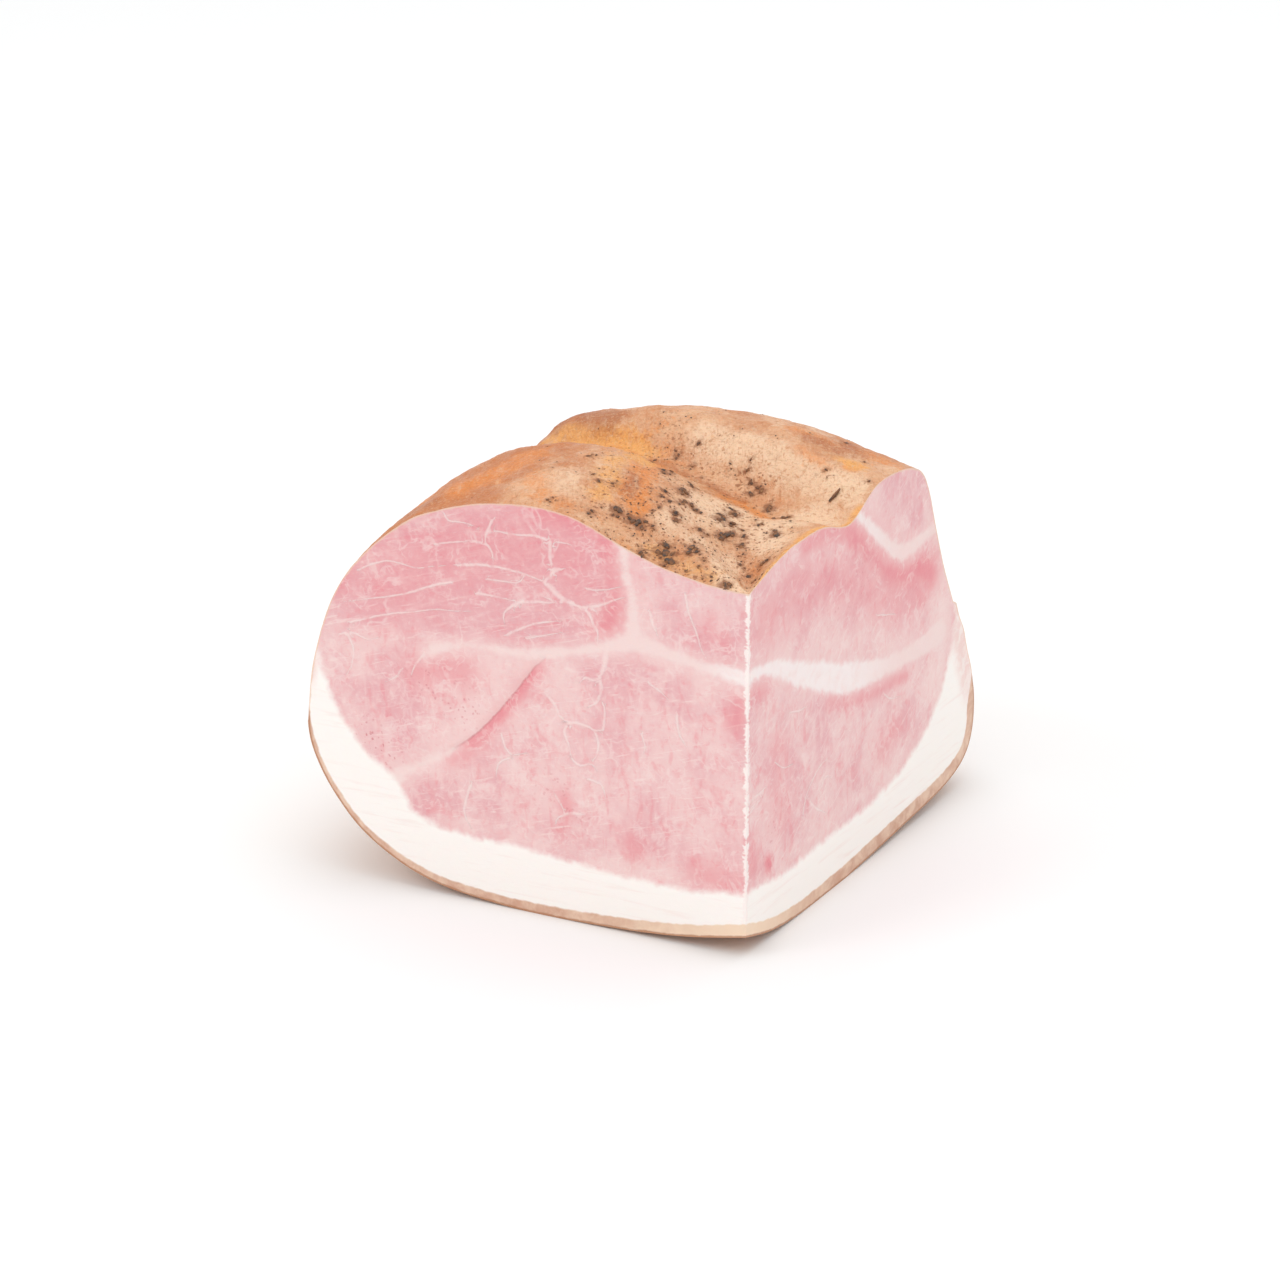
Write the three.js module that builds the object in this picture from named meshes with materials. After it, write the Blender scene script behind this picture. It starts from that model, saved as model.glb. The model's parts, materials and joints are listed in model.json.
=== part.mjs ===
// A piece of boneless smoked ham, cut from the whole ham by two upright knife cuts that meet in a front edge.
// It lies on its rind. One cut face looks forward (-Y), the other to the right (+X); the rest is the
// rounded outside of the ham. Millimetres, +Z up, table at z = 0, origin under the middle of the piece.

import * as THREE from 'three';
import { mergeVertices } from 'three/addons/utils/BufferGeometryUtils.js';

// The front edge, where the two cut faces meet.
const faceAngle = 93;            // degrees between the cut faces
const edgeHeight = 125.2;        // top of the edge above the table
const cornerLift = 7.2;          // foot of the edge above the table, where the rind curls up

// Reach from the front edge and height of the crest, for the two cut faces and two sections between them.
const leftFaceLength = 162;
const leftFaceCrest = 142.5;
const leftFlankReach = 181;
const leftFlankCrest = 147;
const backFlankReach = 190;
const backFlankCrest = 137;
const rightFaceLength = 171;
const rightFaceCrest = 136;

// The belly is soft: it would hang this far below the table, and is pressed flat where it rests.
const bellySag = 2.5;

// The fold between the front muscle and the back muscle runs straight over the top, from right to left.
const foldStart = 70;            // along the right face, from the front edge
const foldSlant = 0.13;          // how far it moves back for each unit it goes left
const foldDepth = 7;
const foldWidth = 13;
const foldFadeLow = 60;          // it starts to show at this height
const foldFadeHigh = 115;        // and is fully deep at this one
const backMuscleRise = 9;        // the back muscle stands this much higher than the front one
const backMuscleSlope = 18;      // and gains that height over this distance behind the fold

// Fineness of the surface.
const stepsAround = 44;          // from the left cut face to the right one
const stepsAlong = 84;           // from the top of the edge, round the outside, to its foot

// Each outline runs from the top of the front edge, over the crest and down the outside, to the belly and the
// foot of the edge. Its points are per cent of the section's reach, and per cent of its height from the
// belly to the crest. All four have the same landmarks, so that they can be joined.
const leftFaceOutline = [
  [8.6, 88.6], [19.8, 91.2], [29.6, 95.2], [38.3, 98.9], [48.1, 100], [59.3, 98.5], [68.5, 95.5],
  [76.5, 91], [87, 80.7], [93.2, 70.7], [97.5, 57.6], [99.7, 45.9], [100, 36.2], [97.8, 28.6],
  [93.2, 20.3], [85.8, 12.1], [72.2, 4.6], [52.5, 1.9], [30.9, 2.2], [13.6, 3.8],
];
const leftFlankOutline = [
  [7.7, 87.2], [17.7, 90.2], [27.6, 94.3], [37.6, 98], [48.6, 100], [59.7, 99], [68.5, 96.3],
  [76.2, 92.6], [86.2, 82.8], [92.8, 71.3], [97.2, 58.4], [99.4, 46.3], [100, 36.1], [98.3, 27.4],
  [93.9, 18.6], [86.2, 10.2], [72.5, 2.5], [52.5, 0], [30.4, 0.9], [13.3, 3.4],
];
const backFlankOutline = [
  [7.4, 88.4], [15.8, 91.2], [24.2, 93.5], [32.6, 95.6], [41.1, 97.6], [49.5, 99.3], [58.9, 100],
  [70.5, 98.3], [82.6, 91.5], [91.6, 79.9], [96.3, 67], [98.9, 54.8], [100, 43.9], [100, 34.4],
  [97.9, 22.8], [91.6, 11.5], [77.5, 2.9], [54.7, 0], [30.5, 0.8], [12.6, 3.2],
];
const rightFaceOutline = [
  [7, 94.6], [15.8, 97.1], [24.6, 97.4], [32.2, 97.8], [40.4, 98.6], [46.8, 99.2], [56.1, 99.8],
  [68.4, 97.6], [74.5, 92.4], [79.2, 79.1], [83.3, 67.3], [89.2, 54], [90.6, 49.3], [94.5, 43.5],
  [100, 26.4], [98.7, 12.3], [88.9, 6.1], [65.5, 3.5], [35.1, 1.6], [12.9, 3],
];

// The sections stand upright on the front edge, and fan out evenly from the left face to the right one.
const sections = [
  { reach: leftFaceLength, crest: leftFaceCrest, outline: leftFaceOutline },
  { reach: leftFlankReach, crest: leftFlankCrest, outline: leftFlankOutline },
  { reach: backFlankReach, crest: backFlankCrest, outline: backFlankOutline },
  { reach: rightFaceLength, crest: rightFaceCrest, outline: rightFaceOutline },
];

// A smooth curve through one section: x is the distance from the front edge, y the height above the table.
function sectionCurve({ reach, crest, outline }) {
  const landmarks = outline.map(([across, up]) => new THREE.Vector2(
    across / 100 * reach,
    up / 100 * (crest + bellySag) - bellySag,
  ));
  const edgeTop = new THREE.Vector2(0, edgeHeight);
  const edgeFoot = new THREE.Vector2(0, cornerLift);
  return new THREE.SplineCurve([edgeTop, ...landmarks, edgeFoot]);
}

// What the two muscles add to the height of a point: the fold sinks between them, and the back one rises
// behind it. The rise dies out at the cut faces, and both fade out down the side.
function muscleRelief(point, share) {
  const past = (point.y - foldStart + foldSlant * point.x) / Math.hypot(1, foldSlant);
  const fold = foldDepth * Math.exp(-((past / foldWidth) ** 2));
  const rise = backMuscleRise * Math.sin(Math.PI * share) * THREE.MathUtils.smoothstep(past, 0, backMuscleSlope);
  return (rise - fold) * THREE.MathUtils.smoothstep(point.z, foldFadeLow, foldFadeHigh);
}

// One strand of the surface: the same landmark position on every section, joined by a smooth curve that
// turns from the left face to the right one.
function strand(curves, along) {
  const stations = curves.map((curve) => curve.getPoint(along));
  const fan = new THREE.SplineCurve(stations);
  const points = [];
  for (let step = 0; step <= stepsAround; step += 1) {
    const share = step / stepsAround;
    const { x: reach, y: height } = fan.getPoint(share);
    const turn = THREE.MathUtils.degToRad(faceAngle * share);
    const point = new THREE.Vector3(-reach * Math.cos(turn), reach * Math.sin(turn), height);
    point.z = Math.max(point.z + muscleRelief(point, share), 0);
    points.push(point);
  }
  return points;
}

// The outside of the ham, with a flat cut face closing each end of the fan.
function hamGeometry() {
  const curves = sections.map(sectionCurve);
  const strands = [];
  for (let step = 1; step < stepsAlong; step += 1) {
    strands.push(strand(curves, step / stepsAlong));
  }
  const edgeTop = new THREE.Vector3(0, 0, edgeHeight);
  const edgeFoot = new THREE.Vector3(0, 0, cornerLift);
  const corners = [];
  const addTriangle = (a, b, c) => corners.push(a, b, c);

  for (let around = 0; around < stepsAround; around += 1) {
    addTriangle(edgeTop, strands[0][around + 1], strands[0][around]);
    for (let row = 1; row < strands.length; row += 1) {
      const [upper, lower] = [strands[row - 1], strands[row]];
      addTriangle(upper[around], upper[around + 1], lower[around + 1]);
      addTriangle(upper[around], lower[around + 1], lower[around]);
    }
    const last = strands[strands.length - 1];
    addTriangle(edgeFoot, last[around], last[around + 1]);
  }
  const leftOutline = [edgeTop, ...strands.map((points) => points[0]), edgeFoot];
  const rightOutline = [edgeTop, ...strands.map((points) => points[stepsAround]), edgeFoot];
  fillCutFace(leftOutline, (a, b, c) => addTriangle(a, c, b));
  fillCutFace(rightOutline, addTriangle);

  const loose = new THREE.BufferGeometry().setFromPoints(corners);
  const geometry = mergeVertices(loose);
  geometry.computeVertexNormals();
  return geometry;
}

// Fills one upright outline with triangles that run anticlockwise where the front edge is on the left.
function fillCutFace(outline, addTriangle) {
  const flat = outline.map((point) => new THREE.Vector2(Math.hypot(point.x, point.y), point.z));
  for (const [a, b, c] of THREE.ShapeUtils.triangulateShape(flat, [])) {
    addTriangle(outline[a], outline[b], outline[c]);
  }
}

const hamMaterial = new THREE.MeshStandardMaterial({ color: 0xedc0c0, roughness: 0.45, metalness: 0 });
const ham = new THREE.Mesh(hamGeometry(), hamMaterial);
ham.name = 'smoked_ham';

// The origin lies on the table, under the middle of the piece.
ham.geometry.computeBoundingBox();
const middle = ham.geometry.boundingBox.getCenter(new THREE.Vector3());
ham.position.set(-middle.x, -middle.y, 0);

const smokedHam = new THREE.Group();
smokedHam.add(ham);

export default smokedHam;
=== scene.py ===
"""A piece of smoked ham: its fine surface, materials and pepper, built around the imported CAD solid.

Blender works in metres. The lists of points on the cut faces are in millimetres: how far along the face
from the front edge, and how high above the table.
"""
import json
import math
import random

import bpy
import numpy as np
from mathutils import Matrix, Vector, noise
from mathutils.bvhtree import BVHTree

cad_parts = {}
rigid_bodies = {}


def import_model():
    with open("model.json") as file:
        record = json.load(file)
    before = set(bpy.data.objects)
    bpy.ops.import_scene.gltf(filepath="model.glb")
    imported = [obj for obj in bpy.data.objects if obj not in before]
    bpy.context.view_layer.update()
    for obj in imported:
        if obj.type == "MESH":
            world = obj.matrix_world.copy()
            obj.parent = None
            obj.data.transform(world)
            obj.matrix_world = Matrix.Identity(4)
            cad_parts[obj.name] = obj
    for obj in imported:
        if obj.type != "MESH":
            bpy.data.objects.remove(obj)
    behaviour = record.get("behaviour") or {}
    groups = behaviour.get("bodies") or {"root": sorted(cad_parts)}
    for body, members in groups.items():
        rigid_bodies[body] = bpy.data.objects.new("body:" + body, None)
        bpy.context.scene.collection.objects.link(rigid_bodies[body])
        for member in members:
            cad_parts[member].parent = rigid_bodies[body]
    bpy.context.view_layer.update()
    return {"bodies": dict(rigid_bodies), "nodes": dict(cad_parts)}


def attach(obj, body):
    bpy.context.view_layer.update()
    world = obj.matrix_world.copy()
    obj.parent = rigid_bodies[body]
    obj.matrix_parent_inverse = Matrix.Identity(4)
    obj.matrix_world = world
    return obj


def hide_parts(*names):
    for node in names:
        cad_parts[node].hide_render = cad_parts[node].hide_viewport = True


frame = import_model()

MM = 0.001
NODE = "smoked_ham"
BODY = next(iter(frame["bodies"]))

# Fineness of the surface.
COLUMNS = 120            # from the left cut face, round the outside, to the right one
ROWS = 330               # from the top of the front edge, over the top and under the belly, to its foot
EDGE_STEPS = 88          # up the front edge
RINGS = 55               # from the rim of a cut face to its middle
RAYS = 720               # rays that read one section of the solid
SMOOTHING = 10           # passes that melt the solid's facets together

# Sizes in millimetres.
HEART = 80               # from the front edge to the middle of the ham
CREASE_DEPTH = 1.5       # of the crease between the front and back muscles
RIND_STEP = 0.9          # how far the rind stands out below its upper edge
LEDGE_DEPTH = 2.0        # of the small ledge at the far end of the right face
GROOVE_DEPTH = 0.6       # of the cleft in the left face

# The camera, in degrees, metres and millimetres.
VIEW_AZIMUTH = 26.5
VIEW_ELEVATION = 21
VIEW_DISTANCE = 1.3
LENS = 113.3
FLOOR = 3.0              # half the floor's width, in metres

# The seams of pale fat between the muscles, as points (along, up, half width).
LEFT_SEAMS = [
    [(0, 96.5, 2.6), (8, 97.2, 2.2), (16, 98, 1.9), (25, 99.5, 1.8), (34, 101, 2.2)],
    [(34, 101, 2.2), (42, 101.5, 3.2), (50, 98.8, 2.2)],
    [(50, 98.8, 2), (58, 96.4, 1.5), (66, 94.2, 1.4), (74, 92, 1.7), (84, 91.2, 1.5), (96, 91, 1),
     (104, 90.6, 0.4)],
    [(44, 134, 1.1), (43.8, 127, 1.3), (41.8, 120, 1.5), (40.6, 112, 1.8), (41, 104, 3)],
    [(103, 89.5, 0.4), (108, 89, 1.1), (113, 87.6, 1.2), (117.5, 84.5, 0.5)],
    [(129, 39, 2), (123, 43, 1.5), (117, 46.5, 1.1), (111, 50, 0.8), (105, 54, 0.3)],
]
RIGHT_SEAMS = [
    [(0, 96.5, 2.6), (10, 96, 2), (20, 93.6, 2.6), (30, 89, 3.2), (40, 84.8, 4), (50, 80.8, 4.6),
     (60, 76.3, 5), (70, 73, 4.9), (80, 70.5, 4.8), (90, 68.8, 4), (100, 67.3, 3.4), (110, 66, 3),
     (120, 65.3, 3.2), (130, 64.8, 3.8), (142, 65, 4.5)],
    [(69, 131, 0.8), (76, 128.5, 1.3), (83, 123.5, 1.8), (91, 117, 2), (99, 111, 2.2), (107, 106, 2.5),
     (116, 103.8, 2.8), (126, 104.5, 2.4), (135, 105.5, 2)],
]

# The thin veins, as (half width, points).
LEFT_VEINS = [
    (0.55, [(70.5, 131.5), (70.3, 127), (70, 124.5), (68.8, 122)]),
    (0.7, [(68.8, 122), (65.5, 122.8)]),
    (0.5, [(68.8, 122), (70.5, 119.5), (73, 117.5)]),
    (0.4, [(70.5, 131.5), (76, 132.5), (83, 131.8), (89, 132), (93.5, 131)]),
    (0.45, [(91, 135.5), (92.3, 132.5), (93.8, 129), (93, 126.8)]),
    (0.45, [(99, 127), (94, 127), (91.5, 125), (90.8, 121)]),
    (0.45, [(104, 118), (97, 119.3), (90, 119.8), (82, 119.2), (76, 118.2), (72, 117.2)]),
    (0.3, [(141, 110.5), (136, 113.2), (130, 115.3), (125, 115.2), (119, 114.6), (113, 116.2),
           (104, 118)]),
    (0.3, [(93, 115), (87, 115.2), (82, 115.6), (79.3, 118.5)]),
    (0.3, [(108.5, 135), (107, 132.8), (100.5, 132.9), (93.5, 131)]),
    (0.3, [(70.5, 131.5), (65, 131.8), (61, 131.3)]),
    (0.3, [(57, 117.5), (51, 118.2), (44, 120.6)]),
    (0.3, [(79, 96.9), (72.3, 99.2), (65.5, 101.4)]),
    (0.9, [(71, 116.4), (69.5, 115.5), (67, 113.3), (63, 112), (59.5, 111)]),
    (0.5, [(59.5, 111), (56.5, 109.5), (55, 106.5), (53.3, 103.5), (53.5, 100)]),
    (0.45, [(59.5, 110.8), (53, 112.5), (48, 115), (43.5, 117)]),
    (0.5, [(83.5, 107.5), (81, 109.2), (76, 110), (70, 110.8), (63.5, 112)]),
    (0.45, [(81, 109.2), (85, 106.5), (87.3, 104.2), (87, 100.5)]),
    (0.4, [(86, 97.1), (80, 100.6), (73, 103.5), (66, 105.3)]),
    (0.4, [(97, 109.5), (90, 109.5), (83.5, 109)]),
    (0.38, [(107, 111.5), (112, 110), (120, 106.5), (128, 103.5), (138, 100.8), (150, 97.5)]),
    (0.35, [(145, 91.5), (140, 93.3), (135, 95.2), (129, 97), (121, 99), (113, 101.2), (104, 102),
            (96, 103.5)]),
    (0.3, [(112, 124), (104, 126), (99, 127)]),
    (0.35, [(149, 86.5), (144, 88), (138, 86.5), (133, 88.3)]),
    (0.35, [(146, 87.5), (144, 82), (145, 76), (148, 71)]),
    (0.3, [(126, 78), (128, 75), (132, 72.5)]),
    (0.4, [(117.5, 84.5), (120.5, 80.5), (122.5, 76)]),
    (0.9, [(50.3, 96), (51.2, 92), (52.7, 87.5)]),
    (0.7, [(52.7, 87.5), (52.3, 83.5), (53, 80.5)]),
    (0.5, [(52.7, 87.5), (55.5, 86.5), (58, 87), (60, 85)]),
    (0.5, [(53, 80.5), (54.5, 78.5), (57, 77)]),
    (0.5, [(71.5, 78), (68.8, 75.5), (67.5, 72.5), (64.5, 70)]),
    (0.5, [(64.5, 70), (61, 70.8), (57, 70.3), (54.5, 69.3), (51.5, 70)]),
    (0.45, [(64.5, 70), (65.5, 66.5), (64, 62.5), (63, 58)]),
    (0.4, [(54.5, 69.3), (53.2, 65), (54, 60.5), (56, 57.5)]),
    (0.4, [(63, 58), (60, 56), (56, 57.5), (53, 55)]),
    (0.4, [(51.5, 70), (50.8, 76), (51.5, 80)]),
    (0.4, [(25, 80), (24.7, 76), (23.5, 72.5), (21, 69)]),
    (0.35, [(37.5, 71), (36.3, 67), (37.5, 63)]),
    (0.4, [(60, 39), (65, 38), (68, 36), (69, 33.5)]),
    (0.35, [(69, 44), (67, 41), (65.5, 38)]),
    (0.45, [(100.5, 41.5), (102, 37), (103, 31), (100.5, 26)]),
    (0.35, [(88.5, 61), (87, 57), (84, 55.5), (79, 57)]),
    (0.35, [(86, 54), (90, 51), (91, 46)]),
    (0.35, [(35, 89), (31, 87), (28, 84.5)]),
    (0.35, [(57, 52), (52, 50.5), (50.5, 46)]),
    (0.45, [(34.5, 113), (33.5, 109), (31.5, 105)]),
    (0.35, [(22, 121), (21, 116), (18.5, 110), (16.5, 104), (14.5, 101)]),
]
RIGHT_VEINS = [
    (0.6, [(0, 53.5), (6, 54), (13, 55)]),
    (0.4, [(3, 50), (9, 52), (13, 55)]),
    (0.5, [(44, 39), (48, 35), (56, 30)]),
    (0.4, [(46, 45), (51, 48), (57, 49.5)]),
    (0.4, [(40, 36), (42, 41), (46, 45)]),
    (0.35, [(52, 40), (56, 43), (60, 41)]),
    (0.35, [(30, 75), (36, 73.5), (41, 73)]),
    (0.3, [(92, 88), (99, 86), (106, 84)]),
    (0.3, [(20, 61), (26, 57), (33, 56)]),
    (0.3, [(98, 58), (104, 54), (112, 52)]),
]

# Where the lean meets the fat under the rind, from the front edge outwards.
LEFT_FAT_LINE = [(0, 22.5), (10, 21), (20, 19.8), (30, 19.5), (45, 20), (60, 21), (72, 22), (85, 23),
                 (100, 23),
                 (110, 23.7), (117, 25.2), (122.5, 28.5), (125.8, 33), (127.5, 37), (133, 41), (140, 46),
                 (145.5, 52), (150.5, 59), (154, 66), (156.5, 74), (159, 86)]
RIGHT_FAT_LINE = [(0, 22), (8, 21.5), (25, 19.8), (45, 19.2), (60, 20), (80, 20), (95, 21), (110, 23),
                  (120, 26.5), (128, 29.5), (135, 33.5), (142, 40), (148, 49), (152, 58), (153, 68),
                  (149, 79), (143, 90),
                  (138.5, 100), (137, 112)]

# Soft zones of redder and of paler lean, as (radius, strength, points).
LEFT_RED = [
    (16, 0.4, [(62, 126), (86, 128), (112, 118), (130, 108)]),
    (3.4, 0.6, [(75.5, 87), (80, 81), (85, 74), (90.5, 66.5), (96, 59), (102, 53.5), (108, 49.5)]),
    (6, 0.8, [(52, 138), (47, 129), (45, 119), (47, 110), (51, 104)]),
    (7, 0.7, [(50, 139), (62, 141), (76, 141)]),
    (5, 0.5, [(150, 104), (146, 110)]),
    (6, 0.5, [(2, 24), (9, 25), (16, 27)]),
    (4, 0.5, [(40, 29), (41, 33)]),
    (4, 0.6, [(3, 88), (5, 81)]),
    (3.5, 0.6, [(66, 43), (65, 40)]),
    (7, 0.55, [(119, 78), (111, 81), (103, 82)]),
    (4, 0.4, [(10, 107), (13, 112)]),
]
LEFT_PALE = [
    (4, 0.7, [(76, 87.5), (84, 86.5), (92, 86.5)]),
    (6, 0.5, [(88, 76), (97, 66), (107, 57)]),
    (4, 0.6, [(112, 27), (90, 26.5), (70, 25.5), (50, 24), (28, 23.5)]),
    (6, 0.6, [(152, 89), (154, 76)]),
    (4, 0.5, [(76, 84), (70, 86), (62, 90)]),
    (5, 0.5, [(30, 96), (14, 95)]),
    (5, 0.5, [(36, 122), (37, 112)]),
    (9, 0.35, [(58, 60), (60, 50), (62, 66)]),
]
RIGHT_RED = [
    (13, 0.45, [(12, 112), (30, 116), (60, 112), (88, 98), (118, 88)]),
    (9, 0.35, [(24, 42), (20, 60)]),
    (8, 0.9, [(70, 127), (82, 119), (93, 110), (104, 101), (115, 96), (127, 94), (133, 90)]),
    (6, 0.7, [(40, 130), (55, 129), (70, 126)]),
    (5, 0.6, [(122, 88), (126, 82)]),
    (3, 0.7, [(58, 69), (75, 63.5), (90, 61.5), (115, 59)]),
    (3, 1.0, [(15.5, 28), (17, 26)]),
    (5, 0.5, [(20, 67), (24, 65)]),
    (7, 0.6, [(101, 39), (107, 42)]),
    (5, 0.6, [(4, 91), (14, 90)]),
    (5, 0.5, [(3, 38), (5, 30)]),
]
RIGHT_PALE = [
    (7, 0.6, [(58, 87), (80, 81), (100, 77), (120, 76)]),
    (8, 0.9, [(139, 93), (143, 80), (145, 68), (143, 56), (138, 46)]),
    (4, 0.5, [(35, 24), (60, 25), (90, 25), (110, 28)]),
    (6, 0.5, [(4, 106), (16, 103), (28, 98)]),
    (5, 0.5, [(74, 131), (84, 130), (90, 124)]),
]

# How thick the rind is cut through, and the height where it ends, along each face.
LEFT_RIND = {"along": [0, 80, 130, 158], "thick": [4.6, 3.6, 2.8, 1.9], "ends": (46, 64)}
RIGHT_RIND = {"along": [0, 40, 90, 171], "thick": [4.6, 4.6, 5.6, 5.8], "ends": (28, 44)}

# The thin dark line where two muscles part, with redder lean on its lower side.
LEFT_CLEFT = [(72.5, 91), (76, 87.6), (80, 82.2), (85, 75.4), (90, 69.2), (95, 63.4), (101, 57.6),
              (107, 53)]

# Small dark pink specks, as soft zones.
LEFT_SPECKS = [(6, 1, [(139, 53), (133, 47), (127, 44)]), (8, 0.7, [(116, 76), (106, 70), (100, 66)]),
               (9, 0.5, [(70, 45), (62, 38)])]
RIGHT_SPECKS = [(6, 0.6, [(20, 40), (16, 30)]), (8, 0.5, [(60, 100), (80, 105)])]

# The crease where the front muscle meets the one behind it, as points (left of the edge, behind it).
CREASE = [(128, 110), (122, 103), (114, 95), (104, 90.5), (90, 88), (76, 86), (62, 83.5), (48, 81),
          (36, 79)]

# Where the outside swells out more than the solid, as (left, behind, radius, height).
SWELLS = [(122, 112, 17, 5.5), (40, 104, 22, 1.5), (100, 40, 26, -1.5)]

# Colour zones of the smoked top, as (radius, strength, points to the left of the edge and behind it).
CRUST_ORANGE = [
    (9, 1.0, [(100, 86), (86, 80), (74, 72), (64, 60)]),
    (6, 1.0, [(62, 52), (58, 42), (55, 30), (50, 21)]),
    (10, 0.8, [(112, 18), (104, 32), (100, 50)]),
    (8, 0.9, [(132, 20), (140, 45), (138, 66), (124, 76)]),
    (5, 0.8, [(22, 60), (30, 66), (40, 68)]),
    (3.5, 1.0, [(6, 96), (7, 94)]),
    (9, 0.6, [(3, 112), (18, 108), (32, 108)]),
    (5, 0.8, [(124, 120), (120, 136), (104, 148)]),
    (4, 0.5, [(14, 90), (26, 93)]),
    (3, 0.6, [(-1, 27), (-2, 40), (-3, 55)]),
    (7, 0.6, [(70, 6), (80, 10), (86, 22)]),
]
CRUST_GOLDEN = [
    (5, 1.0, [(122, 100), (112, 94.5), (100, 91), (90, 89), (78, 84)]),
    (7, 0.9, [(92, 84), (82, 76), (72, 66), (66, 56)]),
    (6, 0.7, [(70, 46), (66, 34), (62, 20)]),
    (5, 0.9, [(6, 96), (10, 98)]),
    (2.0, 1.0, [(0, 6), (-0.5, 20), (-1.5, 40), (-2.5, 60), (-3.5, 78)]),
    (6, 0.5, [(36, 6), (24, 4), (14, 4)]),
]
CRUST_BROWN_AND_CREASE_SHADE = [
    (8, 1.0, [(114, 112), (108, 103), (97, 97)]),
    (11, 1.0, [(120, 108), (118, 120), (108, 128)]),
    (6, 0.7, [(124, 124), (112, 137), (98, 150), (80, 158)]),
    (8, 0.95, [(88, 128), (70, 139), (50, 144), (30, 139)]),
    (8, 0.8, [(145, 40), (143, 62), (132, 78)]),
    (9, 0.7, [(133, 18), (120, 10)]),
    (6, 0.6, [(110, 54), (98, 54), (92, 48)]),
    # Painted shade: a darker band along the front side of the crease between the front and back muscles.
    (4, 0.7, [(84, 80), (70, 78), (58, 76), (46, 73), (36, 71)]),
    (4, 0.9, [(61, 39), (57, 34), (55, 26)]),
    (7, 0.85, [(20, 118), (12, 106), (26, 104)]),
    (3, 0.7, [(50, 15), (46, 13)]),
    (3, 0.5, [(60, 76), (52, 66), (48, 60)]),
]
CRUST_PALE = [
    (8, 1.0, [(30, 44), (40, 50), (28, 58)]),
    (5, 1.0, [(3, 3), (10, 4)]),
    (9, 0.8, [(10, 36), (16, 50), (14, 68)]),
    (7, 0.9, [(4, 66), (10, 74), (16, 62), (10, 54)]),
    (8, 0.9, [(2, 84), (20, 86), (40, 89), (58, 91)]),
    (7, 0.8, [(4, 8), (12, 10), (18, 20)]),
    (9, 0.6, [(36, 34), (38, 22), (30, 20)]),
    (8, 0.6, [(84, 14), (78, 26), (72, 14)]),
    (8, 0.5, [(90, 140), (86, 150), (70, 156)]),
    (6, 0.6, [(34, 52), (42, 56)]),
    (7, 0.5, [(60, 128), (40, 126), (30, 120)]),
]

# The cracked pepper on the smoked top, as (left of the edge, behind it, spread, count, size of a crumb).
PEPPER = [
    (31, 7.5, 1.6, 5, 1.7), (32, 2.5, 1.1, 3, 1.3), (39.5, 4, 1.7, 5, 1.0), (26.5, 14.5, 1.3, 4, 1.5),
    (23, 11.5, 1.4, 4, 0.9), (53, 15, 1.1, 3, 1.3), (46.5, 14, 1.4, 4, 1.4), (42.5, 16.5, 2.0, 6, 0.7),
    (49, 12, 2.0, 6, 0.7), (40.5, 28.5, 1.5, 5, 1.3), (43.5, 25, 1.2, 3, 0.9), (47.5, 34, 0.9, 3, 1.1),
    (39.5, 40.5, 1.3, 4, 1.2), (43, 40, 0.9, 2, 0.9), (46.5, 46, 1.2, 4, 1.4), (30.5, 44.5, 0.9, 3, 1.7),
    (27, 44.5, 0.6, 2, 1.6), (23, 44, 0.5, 1, 0.9), (26, 34.5, 1.0, 3, 1.5), (23.5, 36, 1.0, 3, 1.6),
    (20, 36.5, 1.0, 3, 1.2), (30, 28.5, 0.8, 3, 1.1), (11.5, 44.5, 0.9, 3, 1.4), (16, 45, 0.9, 2, 0.7),
    (30.5, 53, 0.9, 3, 1.4), (33.5, 57, 1.0, 3, 0.9), (19.5, 50.5, 0.7, 2, 1.0), (24, 54, 0.9, 2, 0.7),
    (20, 62, 0.6, 2, 1.0), (19, 68, 0.6, 2, 1.2), (27, 71.5, 0.7, 2, 1.4), (55, 57, 1.4, 4, 1.0),
    (48.5, 58, 0.9, 3, 1.2), (37, 79.5, 1.3, 4, 1.1), (33, 79, 0.8, 2, 0.8), (40, 84, 0.7, 2, 0.9),
    (61, 84, 1.4, 3, 0.9), (67, 84.5, 1.2, 3, 0.8), (74, 86.5, 2.0, 5, 0.6), (8, 1.8, 0.9, 3, 1.3),
    (13, 2.5, 2.2, 5, 0.6), (20, 3.5, 2.2, 7, 0.6), (6, 24, 1.1, 3, 0.9), (15.5, 26, 0.9, 3, 0.9),
    (9, 20.5, 1.6, 4, 0.7), (3, 14, 1.2, 3, 0.8), (58, 6, 1.2, 3, 0.8), (74, 6, 1.3, 3, 0.6),
    (68, 30, 0.9, 2, 0.8), (61.5, 25, 0.9, 2, 0.8), (78, 42, 1.8, 3, 0.8), (96, 131, 1.4, 3, 1.1),
    (91, 152, 0.8, 2, 1.0), (88, 157, 0.6, 1, 1.0), (99, 148, 1.2, 3, 0.8), (27, 135, 0.8, 2, 1.0),
    (19, 117, 1.3, 2, 1.0), (5, 102, 0.5, 1, 1.0), (-1, 90.5, 0.5, 1, 1.2), (13, 87, 1.0, 2, 0.7),
    (40, 22, 14, 70, 0.42), (30, 10, 9, 60, 0.45), (28, 46, 13, 50, 0.42), (48, 16, 8, 40, 0.42),
    (60, 84, 14, 24, 0.4), (60, 45, 20, 30, 0.38), (30, 95, 25, 22, 0.4), (70, 130, 30, 16, 0.45),
    (80, 20, 18, 14, 0.38), (10, 20, 7, 30, 0.42),
]
CRUMB_SIDES = 7          # corners round one crumb
ABOVE = 0.3              # a height in metres well over the ham, from which the crumbs are dropped
DOWN = Vector((0, 0, -1))

# The two ends of a stalk of clove, as (left of the edge, behind it).
CLOVE = ((6, 83), (7, 77))


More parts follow.
